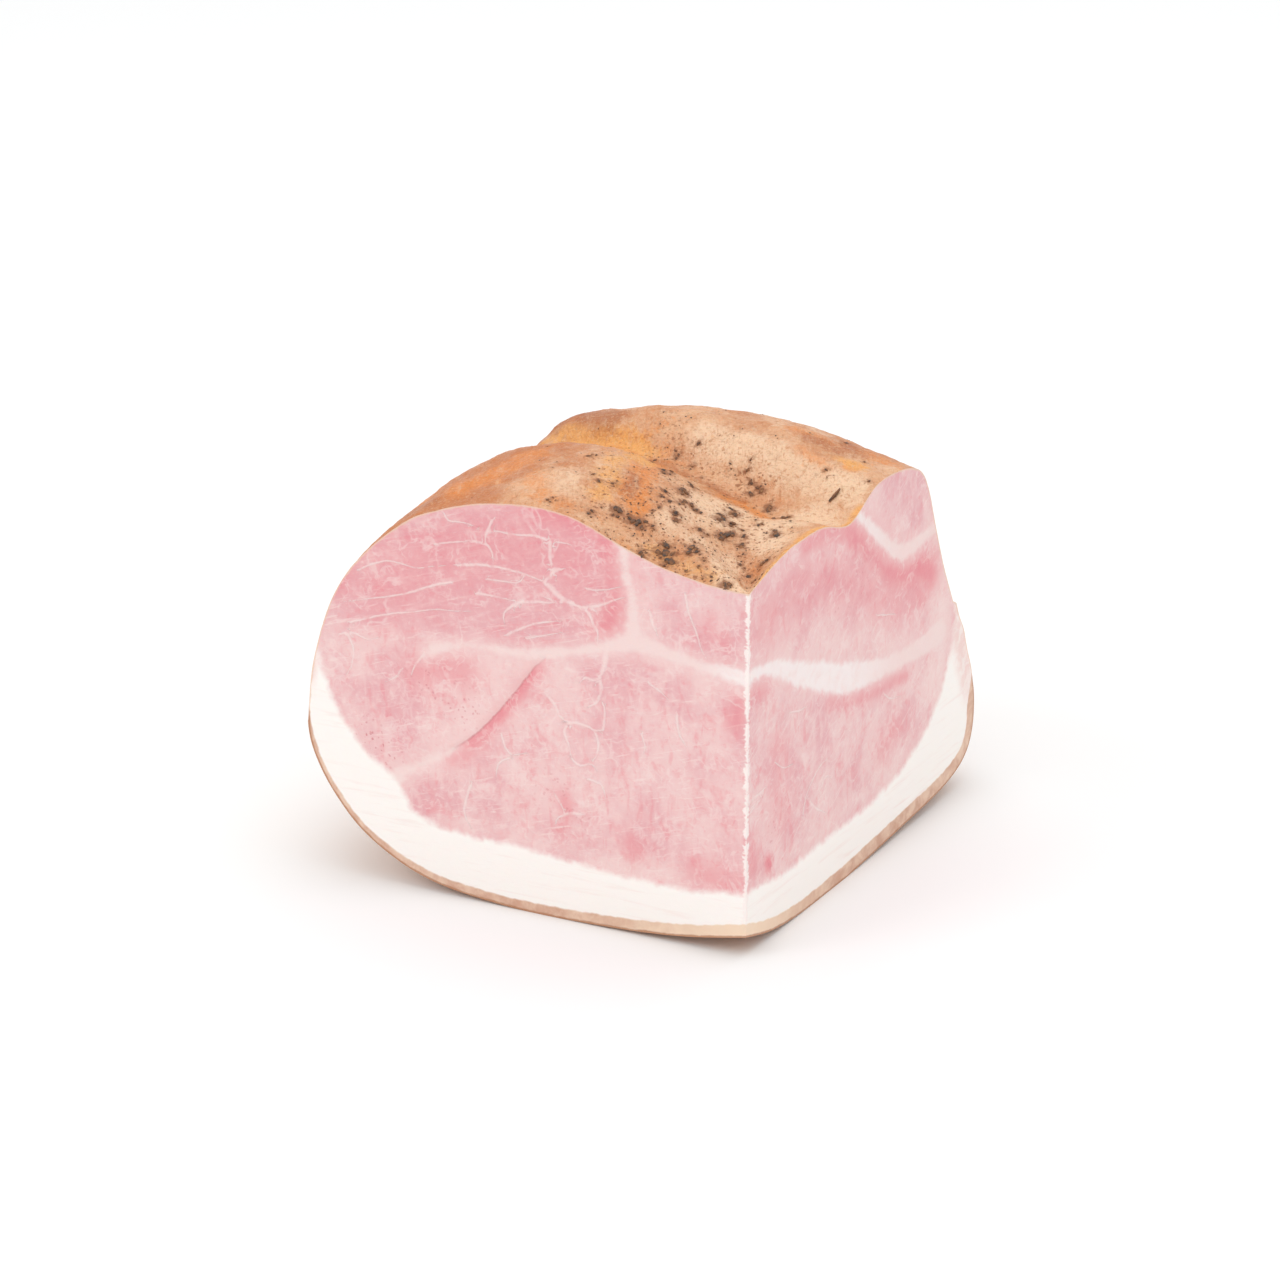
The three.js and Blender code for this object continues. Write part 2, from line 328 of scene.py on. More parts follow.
def smooth_curve(points, per_span=6):
    """A Catmull-Rom curve through the points, whatever number of values each one has."""
    p = np.array(points, float)
    p = np.vstack([2 * p[0] - p[1], p, 2 * p[-1] - p[-2]])
    t = np.arange(per_span)[:, None] / per_span
    spans = []
    for a, b, c, d in zip(p, p[1:], p[2:], p[3:]):
        spans.append(0.5 * (2 * b + (c - a) * t + (2 * a - 5 * b + 4 * c - d) * t ** 2
                            + (3 * b - a - 3 * c + d) * t ** 3))
    return np.vstack([*spans, p[-2:-1]])


def nearest_on_curve(spots, curve):
    """For each spot: how far the curve is, which side of it the spot is on, and the values there."""
    best = np.full(len(spots), np.inf)
    side = np.zeros(len(spots))
    values = np.zeros((len(spots), curve.shape[1]))
    for a, b in zip(curve, curve[1:]):
        run = (b - a)[:2]
        off = spots - a[:2]
        share = np.clip(off @ run / max(run @ run, 1e-12), 0, 1)
        gap = np.linalg.norm(off - share[:, None] * run, axis=1)
        closer = gap < best
        best[closer] = gap[closer]
        side[closer] = np.sign(run[0] * off[closer, 1] - run[1] * off[closer, 0])
        values[closer] = a + share[closer, None] * (b - a)
    return best, side, values


def smoothstep(value, low, high):
    """A smooth step from 0 to 1 as the value passes from low to high."""
    t = np.clip((value - low) / (high - low), 0, 1)
    return t * t * (3 - 2 * t)


def fractal(points, size, seed=0.0, octaves=3):
    """Smooth noise of about -1 to 1, whose largest lumps are this size in metres."""
    shift = Vector((seed, seed * 1.7, -seed * 0.6))
    return np.array([noise.fractal(Vector(p) / size + shift, 1.0, 2.0, octaves) for p in points.tolist()])


# ---------------------------------------------------------------- the shape

class Solid:
    """The CAD solid, and the front edge and the turn between its cut faces as read from it."""

    def __init__(self, node):
        mesh = node.data
        self.points = np.array([v.co for v in mesh.vertices])
        corners = [vertex.co for vertex in mesh.vertices]
        self.tree = BVHTree.FromPolygons(corners, [face.vertices for face in mesh.polygons])
        slack = 0.05 * MM
        back = self.points[:, 1].min()
        on_left = self.points[self.points[:, 1] < back + slack]
        right = on_left[:, 0].max()
        on_edge = on_left[on_left[:, 0] > right - slack]
        self.edge = np.array([right, back])
        self.foot = on_edge[:, 2].min()
        self.top = on_edge[:, 2].max()
        away = self.points[:, :2] - self.edge
        far = away[np.linalg.norm(away, axis=1) > 20 * MM]
        self.turn = np.arctan2(far[:, 1], -far[:, 0]).max()

    def heading(self, turn):
        """The level direction away from the front edge, turned from the left cut face."""
        return np.array([-math.cos(turn), math.sin(turn)])

    def section(self, turn, middle):
        """The outside of the section at this turn, from the top of the front edge to its foot."""
        heading = self.heading(turn)
        reach, height = middle
        start = math.atan2(self.top - height, -reach)
        stop = math.atan2(self.foot - height, -reach)
        hits = [(0.0, self.top)]
        centre = Vector((*(self.edge + reach * heading), height))
        for angle in np.linspace(start, stop, RAYS)[1:-1]:
            ray = Vector((*(math.cos(angle) * heading), math.sin(angle)))
            hit = self.tree.ray_cast(centre, ray)[0]
            if hit is not None:
                hits.append((float((np.array(hit[:2]) - self.edge) @ heading), hit[2]))
        hits.append((0.0, self.foot))
        path = np.array(hits)
        run = np.concatenate([[0], np.cumsum(np.linalg.norm(np.diff(path, axis=0), axis=1))])
        even = np.linspace(0, run[-1], ROWS + 1)
        across = np.interp(even, run, path[:, 0])
        up = np.interp(even, run, path[:, 1])
        return np.column_stack([self.edge + across[:, None] * heading, up])

    def outside(self):
        """The whole outside as a grid of points, one column for each turn, with the facets melted."""
        middle = (HEART * MM, (self.top + self.foot) / 2)
        inset = 0.0004
        turns = np.linspace(inset, self.turn - inset, COLUMNS + 1)
        grid = np.array([self.section(turn, middle) for turn in turns])
        for _ in range(SMOOTHING):
            grid[:, 1:-1] = (grid[:, :-2] + 2 * grid[:, 1:-1] + grid[:, 2:]) / 4
            grid[1:-1] = (grid[:-2] + 2 * grid[1:-1] + grid[2:]) / 4
        for column, turn in ((0, 0.0), (-1, self.turn)):
            heading = self.heading(turn)
            across = (grid[column, :, :2] - self.edge) @ heading
            grid[column, :, :2] = self.edge + across[:, None] * heading
        return grid


def grid_normals(grid):
    """The outward normal at each point of the outside grid."""
    down = np.gradient(grid, axis=1)
    along = np.gradient(grid, axis=0)
    normal = np.cross(down, along)
    length = np.linalg.norm(normal, axis=2, keepdims=True)
    normal = normal / np.maximum(length, 1e-12)
    outwards = np.sum(normal[:, ROWS // 2] * np.array([-1, 1, 0.0])) > 0
    return normal if outwards else -normal


def weather(solid, grid):
    """The small shapes of the outside: lumps and wrinkles, the trimmed fat, the edge of the rind."""
    normal = grid_normals(grid)
    flat = grid.reshape(-1, 3)
    inner = 1 - smoothstep(np.abs(np.linspace(-1, 1, COLUMNS + 1)), 0.985, 1.0)[:, None]
    line = rind_line(solid, flat).reshape(grid.shape[:2])
    crust = 1 - smoothstep(line, -3.0, 0.0)
    lumps = fractal(flat, 28 * MM, 3.1).reshape(line.shape)
    wrinkles = fractal(flat * np.array([1.0, 1.0, 0.55]), 7 * MM, 8.4).reshape(line.shape)
    grain = fractal(flat, 2.6 * MM, 1.3, 2).reshape(line.shape)
    step = RIND_STEP * smoothstep(line, -0.8, 0.8) * smoothstep(grid[:, :, 2] / MM, 3, 14)
    trimmed = np.exp(-((line + 9) / 6) ** 2) * (0.6 * wrinkles - 0.5)
    plan = plan_spots(solid, flat)
    gap, _, spot = nearest_on_curve(plan, smooth_curve(CREASE))
    swell = sum(height * np.exp(-np.sum((plan - (left, behind)) ** 2, axis=1) / radius ** 2)
                for left, behind, radius, height in SWELLS).reshape(line.shape)
    swell = swell * smoothstep(grid[:, :, 2] / MM, 75, 110)
    fade = smoothstep(spot[:, 0], 34, 60) * (1 - smoothstep(spot[:, 0], 118, 128))
    crease = (np.exp(-(gap / 2.2) ** 2) * fade).reshape(line.shape)
    crease = crease * (grid[:, :, 2] > solid.foot + 70 * MM)
    height = grid[:, :, 2] / MM + 1.2 * wrinkles
    ledge = smoothstep(-height, -73.5, -71.5) * (1 - smoothstep(-height, -68, -50))
    ledge = ledge * smoothstep(np.linspace(0, 1, COLUMNS + 1), 0.93, 0.985)[:, None]
    offset = crust * (1.0 * lumps + 0.5 * wrinkles + 0.18 * grain) + (1 - crust) * 0.4 * lumps \
        + step + trimmed + swell - CREASE_DEPTH * crease
    pole = smoothstep(np.linalg.norm(grid[:, :, :2] - solid.edge, axis=2) / MM, 1, 14)
    offset = offset * (0.25 + 0.75 * inner) + LEDGE_DEPTH * ledge
    grid = grid + normal * (offset * pole * MM)[:, :, None]
    grid[:, :, 2] = np.maximum(grid[:, :, 2], 0)
    for column, turn in ((0, 0.0), (-1, solid.turn)):
        heading = solid.heading(turn)
        across = (grid[column, :, :2] - solid.edge) @ heading
        grid[column, :, :2] = solid.edge + across[:, None] * heading
    return grid


def rind_line(solid, points):
    """How far below the top of the rind each outside point lies, in millimetres; negative above it."""
    share = np.arctan2(points[:, 1] - solid.edge[1], solid.edge[0] - points[:, 0]) / solid.turn
    top = np.interp(share, [0, 0.12, 0.35, 0.6, 0.85, 1], [54, 58, 64, 60, 46, 36])
    ragged = 2.2 * fractal(points * np.array([1.0, 1.0, 0.4]), 14 * MM, 5.0) \
        + 0.8 * fractal(points, 3 * MM, 2.0, 2)
    return top + ragged - points[:, 2] / MM


def build_ham(solid):
    """The whole surface as one closed mesh: the outside, the cut faces and the edge they share."""
    grid = weather(solid, solid.outside())
    top = np.array([*solid.edge, solid.top])
    foot = np.array([*solid.edge, solid.foot])
    heights = np.linspace(solid.foot, solid.top, EDGE_STEPS + 1)[1:-1]
    edge = np.column_stack([np.tile(solid.edge, (len(heights), 1)), heights])

    points = [*grid[:, 1:-1].reshape(-1, 3), top, foot, *edge]
    strand = ROWS - 1
    top_at = (COLUMNS + 1) * strand
    foot_at = top_at + 1
    edge_at = range(foot_at + 1, foot_at + 1 + len(edge))
    faces = []
    for column in range(COLUMNS):
        here, there = column * strand, (column + 1) * strand
        faces.append((top_at, there, here))
        for row in range(strand - 1):
            faces.append((here + row, there + row, there + row + 1, here + row + 1))
        faces.append((here + strand - 1, there + strand - 1, foot_at))
    outside_faces = len(faces)

    zones = {}
    for name, column in (("left", 0), ("right", COLUMNS)):
        rim = [top_at, *range(column * strand, (column + 1) * strand), foot_at, *edge_at]
        first = len(points)
        rim_points = np.array([points[i] for i in rim])
        heart = np.array([*(solid.edge + HEART * MM * solid.heading(solid.turn * (name == "right"))),
                          (solid.top + solid.foot) / 2])
        previous = rim
        for ring in range(1, RINGS):
            start = len(points)
            points.extend(rim_points + (heart - rim_points) * ring / RINGS)
            current = list(range(start, start + len(rim)))
            faces.extend(ring_faces(previous, current, name))
            previous = current
        points.append(heart)
        centre = [len(points) - 1] * len(rim)
        faces.extend(ring_faces(previous, centre, name))
        zones[name] = slice(first, len(points))
    zones["rim"] = list(range(top_at, foot_at + 1 + len(edge)))
    return np.array(points), faces, outside_faces, zones


def ring_faces(outer, inner, name):
    """The faces between two rings of a cut face, facing out of the ham."""
    made = []
    count = len(outer)
    for i in range(count):
        j = (i + 1) % count
        face = [outer[i], outer[j], inner[j], inner[i]]
        if inner[i] == inner[j]:
            face = face[:3]
        made.append(tuple(face) if name == "left" else tuple(reversed(face)))
    return made


# ---------------------------------------------------------------- what each point of a cut face is made of

def face_spots(solid, points, turn):
    """Along-and-up coordinates in millimetres of points on a cut face."""
    along = (points[:, :2] - solid.edge) @ solid.heading(turn)
    return np.column_stack([along, points[:, 2]]) / MM


def soft_zone(spots, zones):
    """The strongest of several soft zones at each spot, from 0 to 1."""
    field = np.zeros(len(spots))
    for radius, strength, points in zones:
        gap = nearest_on_curve(spots, smooth_curve(points))[0]
        field = np.maximum(field, strength * np.exp(-(gap / radius) ** 2))
    return field


def cut_fields(spots, outline, seams, veins, fat_line, red, pale, specks, rind):
    """Every field that the cut face's material reads, for spots on one face."""
    fields = {}
    seam = np.full(len(spots), 60.0)
    for line in seams:
        gap, _, values = nearest_on_curve(spots, smooth_curve(line))
        seam = np.minimum(seam, gap - values[:, 2])
    fields["seam"] = seam

    near = np.full(len(spots), 60.0)
    side = np.full(len(spots), 60.0)
    for width, line in veins:
        tapered = width * (1.1 - 0.75 * np.linspace(0, 1, len(line)) ** 2)
        gap, sign, values = nearest_on_curve(spots, smooth_curve(np.column_stack([line, tapered])))
        gap = gap / values[:, 2]
        closer = gap < near
        near[closer] = gap[closer]
        side[closer] = (gap * np.where(sign == 0, 1, sign))[closer]
    fields["vein_near"] = near
    fields["vein_side"] = side

    gap, sign, _ = nearest_on_curve(spots, smooth_curve(fat_line))
    fields["fat"] = -gap * sign
    fields["red"] = soft_zone(spots, red)
    fields["pale"] = soft_zone(spots, pale)
    fields["specks"] = soft_zone(spots, specks)

    depth = nearest_on_curve(spots, outline)[0]
    fields["skin"] = depth
    low, high = rind["ends"]
    thick = np.interp(spots[:, 0], rind["along"], rind["thick"])
    thick = thick * (1 - smoothstep(spots[:, 1], low, high)) - 0.6 * smoothstep(spots[:, 1], low, high)
    fields["rind"] = depth - thick
    fields["edge"] = spots[:, 0]
    return fields


def left_only_fields(spots, depth):
    """The fields that only the left cut face has something in."""
    gap, sign, _ = nearest_on_curve(spots, smooth_curve(LEFT_CLEFT))
    skin_line = smoothstep(depth, 2.5, 0.5) * smoothstep(spots[:, 1], 60, 72)
    white = 1 - smoothstep(spots[:, 0], 3, 20)
    grain = smoothstep(spots[:, 1], 86, 96) * smoothstep(spots[:, 0], 40, 52)
    return {"cleft": gap * sign, "cleft_near": gap, "white": white, "grain": grain, "rosy": skin_line}


def right_only_fields(spots, depth):
    """The same fields on the right cut face: no cleft, a whiter seam, and rosier fat at its far side."""
    far = np.full(len(spots), 60.0)
    white = 1 - smoothstep(spots[:, 0], 70, 115)
    outer = smoothstep(spots[:, 1], 26, 40) * smoothstep(depth, 13, 5)
    rosy = np.maximum(smoothstep(spots[:, 1], 48, 64), outer) * smoothstep(spots[:, 0], 108, 128)
    return {"cleft": far, "cleft_near": far, "white": white, "rosy": rosy}


def all_fields(solid, points, zones, crumbs):
    """The fields at every point; points on the outside only need the ones that belong to it."""
    names = ("seam", "vein_near", "vein_side", "fat", "red", "pale", "specks", "skin", "rind", "edge",
             "cleft", "cleft_near", "white", "grain", "rosy")
    fields = {name: np.zeros(len(points)) for name in names}
    strand = ROWS - 1
    faces = (
        ("left", 0.0, 0, left_only_fields,
         (LEFT_SEAMS, LEFT_VEINS, LEFT_FAT_LINE, LEFT_RED, LEFT_PALE, LEFT_SPECKS, LEFT_RIND)),
        ("right", solid.turn, COLUMNS, right_only_fields,
         (RIGHT_SEAMS, RIGHT_VEINS, RIGHT_FAT_LINE, RIGHT_RED, RIGHT_PALE, RIGHT_SPECKS, RIGHT_RIND)),
    )
    for name, turn, column, own_fields, features in faces:
        border = slice(column * strand, (column + 1) * strand)
        outline = face_spots(solid, points[border], turn)
        outline = np.vstack([[0, solid.top / MM], outline, [0, solid.foot / MM]])
        members = np.r_[border, zones["rim"], zones[name]]
        spots = face_spots(solid, points[members], turn)
        drawn = cut_fields(spots, outline, *features)
        for key, values in {**drawn, **own_fields(spots, drawn["skin"])}.items():
            fields[key][members] = values
    plan = plan_spots(solid, points)
    fields["orange"] = soft_zone(plan, CRUST_ORANGE)
    # The brown zones hold real brown patches of the crust, and painted shade along the crease.
    fields["brown"] = soft_zone(plan, CRUST_BROWN_AND_CREASE_SHADE)
    fields["golden"] = soft_zone(plan, CRUST_GOLDEN)
    fields["cream"] = soft_zone(plan, CRUST_PALE)
    fields["spice"], fields["sprinkle"] = spice(points, crumbs)
    fields["rind_line"] = rind_line(solid, points)
    fields["smoke"] = smoke(solid, points)
    return fields


def carve(solid, points, zones, fields):
    """The slight relief of the knife-cut faces: the cleft, the softer seams and the give of the lean."""
    for name, turn in (("left", 0.0), ("right", solid.turn)):
        members = zones[name]
        inwards = np.array([*solid.heading(turn + (math.pi / 2 if name == "left" else -math.pi / 2)), 0])
        groove = np.exp(-(fields["cleft"][members] / 0.9) ** 2) * (fields["cleft_near"][members] < 2.5)
        seam = smoothstep(fields["seam"][members], 1.5, -1.0)
        give = fractal(points[members], 17 * MM, 6.0, 3)
        fat = smoothstep(fields["fat"][members], -1.5, 1.5)
        depth = GROOVE_DEPTH * groove + (1 - fat) * (0.3 + 0.25 * seam + 0.3 * give)
        rim = smoothstep(np.minimum(fields["skin"][members], fields["edge"][members]), 0.4, 4.0)
        points[members] += (depth * rim * MM)[:, None] * inwards


def plan_spots(solid, points):
    """How far left of the front edge, and how far behind it, each point lies, in millimetres."""
    return np.column_stack([solid.edge[0] - points[:, 0], points[:, 1] - solid.edge[1]]) / MM


def spice(points, crumbs):
    """The stain around each crumb of pepper, and how thickly the pepper lies near each point."""
    stain = np.zeros(len(points))
    dust = np.zeros(len(points))
    for place, _, size in crumbs:
        gap = np.linalg.norm(points - np.array(place), axis=1)
        stain = np.maximum(stain, np.exp(-(gap / (1.2 * size + 1.1 * MM)) ** 2) * min(1, size / MM))
        dust += np.exp(-(gap / (7 * MM)) ** 2)
    return stain, np.clip(dust / 6, 0, 1)


def smoke(solid, points):
    """How dark the smoke has coloured the outside: darker on the flanks and back, pale at the front."""
    away = np.linalg.norm(points[:, :2] - solid.edge, axis=1) / MM
    left = (solid.edge[0] - points[:, 0]) / MM
    behind = (points[:, 1] - solid.edge[1]) / MM
    height = points[:, 2] / MM
    flank = smoothstep(left, 55, 125) * (1 - smoothstep(behind, 55, 95) * 0.35)
    corner = smoothstep(left, 92, 112) * smoothstep(behind, 80, 110)
    far = 0.95 * smoothstep(behind, 95, 150) + 0.5 * corner
    side = 0.9 * smoothstep(-height, -125, -85)
    base = np.maximum(np.maximum(flank, far), side)
    return np.clip(base * smoothstep(away, 20, 70), 0, 1)


# ---------------------------------------------------------------- materials

def each_axis(size):
    """One length for all three axes, or the three as given."""
    return size if isinstance(size, tuple) else (size,) * 3


class Nodes:
    """Short calls for building one material's node tree."""

    def __init__(self, name):
        self.material = bpy.data.materials.new(name)
        self.material.use_nodes = True
        self.tree = self.material.node_tree
        self.shader = self.tree.nodes["Principled BSDF"]
        self.place = self.add("ShaderNodeTexCoord").outputs["Object"]

    def add(self, kind, **settings):
        node = self.tree.nodes.new(kind)
        for name, value in settings.items():
            setattr(node, name, value)
        return node

    def put(self, socket, value):
        if isinstance(value, bpy.types.NodeSocket):
            self.tree.links.new(value, socket)
        else:
            socket.default_value = value

    def field(self, name):
        """A field that was worked out at every point of the mesh."""
        return self.add("ShaderNodeAttribute", attribute_name=name).outputs["Fac"]

    def math(self, operation, a, b=0.0):
        node = self.add("ShaderNodeMath", operation=operation)
        self.put(node.inputs[0], a)
        self.put(node.inputs[1], b)
        return node.outputs[0]

    def times(self, a, b):
        return self.math("MULTIPLY", a, b)

    def plus(self, a, b):
        return self.math("ADD", a, b)

    def minus(self, a, b):
        return self.math("SUBTRACT", a, b)

    def step(self, value, low, high, to_low=0.0, to_high=1.0):
        """A smooth step from one number to another as the value passes from low to high."""
        node = self.add("ShaderNodeMapRange", interpolation_type="SMOOTHSTEP")
        for socket, given in zip(node.inputs, (value, low, high, to_low, to_high)):
            self.put(socket, given)
        return node.outputs[0]

    def stretched(self, sizes, turn=(0, 0, 0)):
        """Object coordinates, turned, with one texture unit for each of these sizes in millimetres."""
        turned = self.add("ShaderNodeVectorRotate", rotation_type="EULER_XYZ")
        self.put(turned.inputs["Vector"], self.place)
        self.put(turned.inputs["Rotation"], turn)
        scaled = self.add("ShaderNodeVectorMath", operation="DIVIDE")
        self.put(scaled.inputs[0], turned.outputs[0])
        self.put(scaled.inputs[1], [size * MM for size in sizes])
        return scaled.outputs[0]

    def noise(self, size, detail=3.0, roughness=0.5, warp=0.0, seed=0.0, turn=(0, 0, 0)):
        """Noise from 0 to 1; size is one length in millimetres, or one for each axis."""
        node = self.add("ShaderNodeTexNoise", noise_dimensions="4D")
        self.put(node.inputs["Vector"], self.stretched(each_axis(size), turn))
        self.put(node.inputs["W"], seed)
        self.put(node.inputs["Scale"], 1.0)
        self.put(node.inputs["Detail"], detail)
        self.put(node.inputs["Roughness"], roughness)
        self.put(node.inputs["Distortion"], warp)
        return node.outputs["Fac"]

    def cells(self, size, warp, warp_size=6.0, feature="F1"):
        """Distance to the middles of cells of this size, or to their walls, bent by noise."""
        bend = self.add("ShaderNodeTexNoise")
        self.put(bend.inputs["Vector"], self.stretched((warp_size,) * 3))
        self.put(bend.inputs["Scale"], 1.0)
        self.put(bend.inputs["Detail"], 3.0)
        centred = self.add("ShaderNodeVectorMath", operation="SUBTRACT")
        self.put(centred.inputs[0], bend.outputs["Color"])
        self.put(centred.inputs[1], (0.5, 0.5, 0.5))
        moved = self.add("ShaderNodeVectorMath", operation="MULTIPLY_ADD")
        self.put(moved.inputs[0], centred.outputs[0])
        self.put(moved.inputs[1], (warp,) * 3)
        self.put(moved.inputs[2], self.stretched(each_axis(size)))
        node = self.add("ShaderNodeTexVoronoi", feature=feature)
        self.put(node.inputs["Vector"], moved.outputs[0])
        self.put(node.inputs["Scale"], 1.0)
        return node.outputs["Distance"]

    def mix(self, share, a, b):
        """Mixes two colours."""
        node = self.add("ShaderNodeMix", data_type="RGBA", clamp_factor=True)
        self.put(node.inputs["Factor"], share)
        self.put(node.inputs["A"], (*a, 1) if isinstance(a, tuple) else a)
        self.put(node.inputs["B"], (*b, 1) if isinstance(b, tuple) else b)
        return node.outputs["Result"]

    def layers(self, colour, *layers):
        """Lays colours over this one, each as strongly as its pattern has passed from low to high."""
        for pattern, low, high, strength, tone in layers:
            colour = self.mix(self.step(pattern, low, high, 0.0, strength), colour, tone)
        return colour

    def blend(self, share, a, b):
        """Mixes two numbers."""
        node = self.add("ShaderNodeMix", data_type="FLOAT", clamp_factor=True)
        for name, given in (("Factor", share), ("A", a), ("B", b)):
            self.put(node.inputs[name], given)
        return node.outputs["Result"]

    def surface(self, colour, roughness, height, depth):
        """Gives the shader its colour, its roughness and a relief of this depth in millimetres."""
        bump = self.add("ShaderNodeBump")
        self.put(bump.inputs["Height"], height)
        self.put(bump.inputs["Distance"], depth * MM)
        self.put(self.shader.inputs["Base Color"], colour)
        self.put(self.shader.inputs["Roughness"], roughness)
        self.put(self.shader.inputs["Normal"], bump.outputs["Normal"])

    def flesh(self, specular, depth, radius):
        """Makes the shader let a little light in, as meat does."""
        self.put(self.shader.inputs["Specular IOR Level"], specular)
        self.put(self.shader.inputs["Subsurface Weight"], depth)
        self.put(self.shader.inputs["Subsurface Radius"], radius)
        self.put(self.shader.inputs["Subsurface Scale"], LIGHT_REACH)


LEAN = (0.79, 0.42, 0.44)
LEAN_PALE = (0.88, 0.62, 0.60)
LEAN_PALER = (0.90, 0.68, 0.65)
LEAN_STROKE = (0.91, 0.70, 0.67)
LEAN_RED = (0.80, 0.235, 0.27)
LEAN_DARK = (0.64, 0.20, 0.22)
WEB = (0.92, 0.73, 0.70)
VEIN = (0.93, 0.77, 0.735)
SEAM = (0.90, 0.70, 0.67)
SEAM_WHITE = (0.94, 0.85, 0.83)
FAT = (0.98, 0.925, 0.88)
FAT_ROSY = (0.89, 0.66, 0.62)
# The pale front edge line: partly frayed fibres, partly a painted highlight on the edge.
FRAYED_AND_HIGHLIT = (0.965, 0.87, 0.83)
SKIN_LINE = (0.82, 0.58, 0.43)
RIND_CUT = (0.64, 0.37, 0.26)
RIND_CUT_PALE = (0.81, 0.58, 0.44)
RIND_CORNER = (0.92, 0.71, 0.53)
RIND_SKIN = (0.46, 0.21, 0.11)

PEACH = (0.62, 0.26, 0.11)
PEACH_PALE = (0.75, 0.42, 0.235)
CRUST_SMOKED = (0.54, 0.16, 0.036)
CRUST_CREAM = (0.89, 0.62, 0.415)
CRUST_AMBER = (0.76, 0.24, 0.04)
CRUST_GOLD = (0.86, 0.41, 0.11)
CRUST_RUST_AND_CREASE_SHADE = (0.38, 0.10, 0.024)
HAIR_DARK = (0.46, 0.16, 0.05)
# The pale grain and grit colours are painted highlights on the crust; the dark ones are its own darker
# grain and grit.
GRAIN_HIGHLIGHT = (0.87, 0.57, 0.34)
GRAIN_DARK = (0.52, 0.18, 0.05)
GRIT_HIGHLIGHT = (0.88, 0.61, 0.38)
GRIT_DARK = (0.48, 0.16, 0.05)
SPICE_STAIN = (0.27, 0.085, 0.022)
SPICE_DUST = (0.30, 0.095, 0.026)

TRIM_PALE = (0.82, 0.58, 0.37)
TRIM = (0.70, 0.38, 0.18)
RIND_TAN = (0.62, 0.33, 0.17)
RIND_BROWN = (0.47, 0.20, 0.09)
RIND_PALE = (0.72, 0.44, 0.26)
RIND_PORE = (0.30, 0.12, 0.05)

HUSK = (0.06, 0.038, 0.028)
HUSK_BROWN = (0.24, 0.095, 0.035)
KERNEL = (0.42, 0.22, 0.10)

LIGHT_REACH = 0.002      # how far light goes into the meat, in metres


def lean_colour(n):
    """Cooked lean: rosy, mottled, streaked along the muscle, with redder and paler zones."""
    broad = n.noise(20.0, 3.0, 0.5, 0.3, 6.0)
    mottle = n.noise(7.0, 5.0, 0.6, 0.8, 2.0)
    fine = n.noise(2.3, 4.0, 0.65, 0.5, 7.0)
    grain = n.noise((20.0, 20.0, 2.6), 4.0, 0.6, 0.6, 4.0, turn=(0, 0.28, 0))
    upright = n.noise((4.5, 4.5, 12.0), 2.0, 0.5, 1.2, 5.0)
    streak = n.blend(n.field("grain"), upright, grain)
    strokes = n.noise((9.0, 9.0, 0.8), 3.0, 0.55, 0.8, 15.0, turn=(-0.5, 0.28, 0))
    tone = n.minus(broad, n.times(n.field("grain"), 0.22))
    colour = n.mix(n.step(tone, 0.34, 0.6, 0.05, 0.8), LEAN, LEAN_PALE)
    colour = n.layers(
        colour,
        (mottle, 0.5, 0.7, 0.65, LEAN_PALE),
        (mottle, 0.48, 0.28, 0.4, LEAN_RED),
        (streak, 0.53, 0.72, 0.5, LEAN_PALE),
        (streak, 0.46, 0.3, 0.35, LEAN_RED),
        (fine, 0.52, 0.7, 0.55, LEAN_PALE),
        (fine, 0.47, 0.28, 0.35, LEAN_RED),
        (strokes, 0.56, 0.7, 0.6, LEAN_STROKE),
    )
    pale = n.times(n.field("pale"), n.step(fine, 0.2, 0.6, 0.7, 1.0))
    colour = n.mix(n.times(pale, 0.75), colour, LEAN_PALER)
    red = n.times(n.field("red"), n.step(mottle, 0.2, 0.5, 0.8, 1.0))
    colour = n.mix(n.times(red, 0.95), colour, LEAN_RED)
    spot = n.times(n.step(n.cells(1.9, warp=0.8, warp_size=1.5), 0.3, 0.14), n.field("specks"))
    return n.mix(n.times(spot, 0.75), colour, LEAN_DARK)


def part_line(n, colour):
    """The cleft between two muscles: a thin dark line, paler above it and redder below."""
    wobble = n.times(n.minus(n.noise(3.0, 3.0, 0.6, 0.0, 3.0), 0.5), 1.2)
    side = n.plus(n.field("cleft"), wobble)
    close = n.step(n.field("cleft_near"), 7.0, 0.5)
    below = n.times(n.step(side, -0.3, 0.3), close)
    above = n.times(n.step(side, 0.3, -0.3), n.step(n.field("cleft_near"), 5.0, 0.0))
    middle = n.step(n.math("ABSOLUTE", side), 0.55, 0.1)
    line = n.times(middle, n.step(n.field("cleft_near"), 2.5, 1.5))
    colour = n.mix(n.times(above, 0.6), colour, LEAN_RED)
    colour = n.mix(n.times(below, 0.6), colour, LEAN_PALE)
    return n.mix(n.times(line, 0.55), colour, LEAN_DARK)


def vein_share(n):
    """Where the drawn veins run: they need the vein's middle close by as well as the change of side."""
    wobble = n.times(n.minus(n.noise(2.6, 3.0, 0.55), 0.5), 2.2)
    side = n.math("ABSOLUTE", n.plus(n.field("vein_side"), wobble))
    line = n.step(side, 1.7, 0.3)
    close = n.step(n.field("vein_near"), 4.5, 2.5)
    broken = n.step(n.noise(4.0, 3.0, 0.6, 0.0, 9.0), 0.3, 0.52, 0.35, 1.0)
    return n.times(n.times(line, close), broken)


def wisps(n, size, seed, thin):
    """Thin wandering lines that branch, where noise passes through its middle value."""
    middle = n.minus(n.noise(size, 3.0, 0.5, 1.0, seed), 0.5)
    return n.step(n.math("ABSOLUTE", middle), thin, 0.0)


